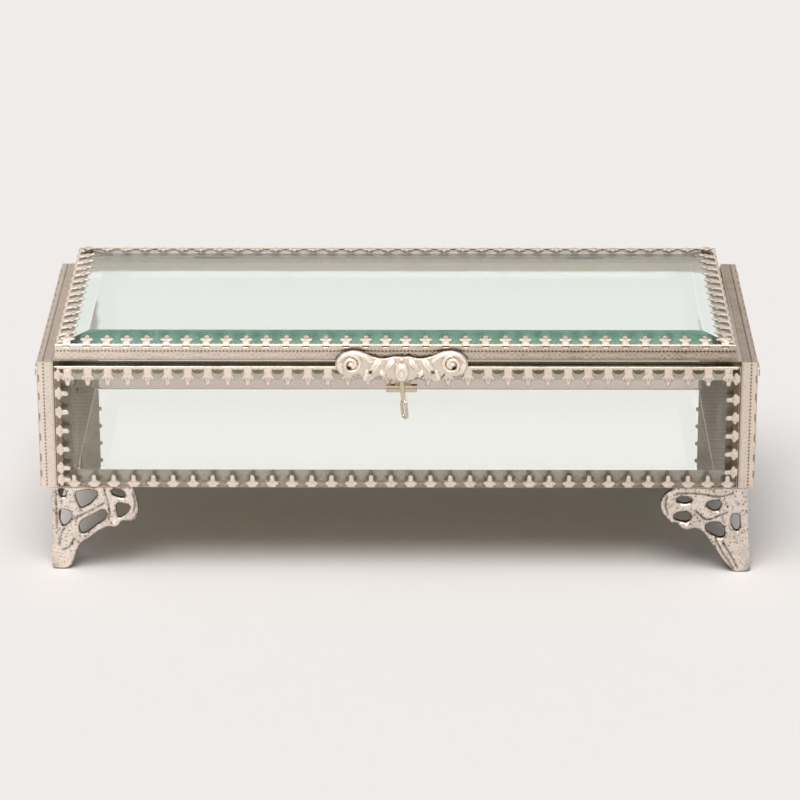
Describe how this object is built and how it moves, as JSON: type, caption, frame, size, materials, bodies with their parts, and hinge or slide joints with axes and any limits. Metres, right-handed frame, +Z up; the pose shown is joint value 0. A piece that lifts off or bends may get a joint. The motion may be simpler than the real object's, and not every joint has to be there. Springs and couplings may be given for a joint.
{
  "type": "glass casket box",
  "caption": "Low rectangular casket of bevelled glass panes bound in pronged metal strip, with a hinged glass lid, wire latch and cast openwork corner feet.",
  "frame": {"origin": "on the table plane that the feet stand on, under the middle of the whole outline", "axes": "+X along the width to the right, +Y to the back where the hinges are, +Z up; the latch faces -Y"},
  "size_m": [0.2554, 0.1182, 0.0872],
  "materials": {
    "bevelled_glass": "clear float glass with a green edge tint, ground and polished bevels",
    "mirror_glass": "silvered plate glass, face up",
    "stamped_band": "stamped brass strip, silver plated, warm and slightly worn",
    "plain_sheet": "plain rolled sheet, silver plated, soft brushed look",
    "cast_metal": "cast white metal, silver plated, with dark recesses",
    "wire_fittings": "bent wire and small plated fittings"
  },
  "bodies": {
    "casket": {"front_glass": "bevelled_glass", "back_glass": "bevelled_glass", "left_glass": "bevelled_glass", "right_glass": "bevelled_glass", "bottom_mirror": "mirror_glass", "base_tray": "plain_sheet", "floor_front_band": "stamped_band", "floor_back_band": "stamped_band", "floor_left_band": "stamped_band", "floor_right_band": "stamped_band", "front_top_band": "stamped_band", "front_bottom_band": "stamped_band", "front_left_band": "stamped_band", "front_right_band": "stamped_band", "back_top_rail": "plain_sheet", "back_bottom_band": "stamped_band", "back_left_band": "stamped_band", "back_right_band": "stamped_band", "left_top_band": "stamped_band", "left_bottom_band": "stamped_band", "left_front_band": "stamped_band", "left_back_band": "stamped_band", "right_top_band": "stamped_band", "right_bottom_band": "stamped_band", "right_front_band": "stamped_band", "right_back_band": "stamped_band", "foot_front_left": "cast_metal", "foot_front_right": "cast_metal", "foot_back_left": "cast_metal", "foot_back_right": "cast_metal", "hinge_left_body_leaf": "wire_fittings", "hinge_left_pin": "wire_fittings", "hinge_right_body_leaf": "wire_fittings", "hinge_right_pin": "wire_fittings", "catch_bar": "wire_fittings"},
    "lid": {"lid_glass": "bevelled_glass", "lid_front_band": "stamped_band", "lid_back_band": "stamped_band", "lid_left_band": "stamped_band", "lid_right_band": "stamped_band", "hinge_left_lid_leaf": "wire_fittings", "hinge_right_lid_leaf": "wire_fittings", "lid_ornament": "cast_metal", "latch_pin": "wire_fittings"},
    "latch": {"latch_wire": "wire_fittings"}
  },
  "joints": [
    {"name": "lid_hinge", "type": "hinge", "parent": "casket", "child": "lid", "pos_m": [0, 0.05756, 0.079], "axis": [-1, 0, 0], "range_deg": [0, 100]},
    {"name": "latch_swing", "type": "hinge", "parent": "lid", "child": "latch", "pos_m": [0.0016, -0.05544, 0.0746], "axis": [-1, 0, 0], "range_deg": [0, 30]}
  ]
}
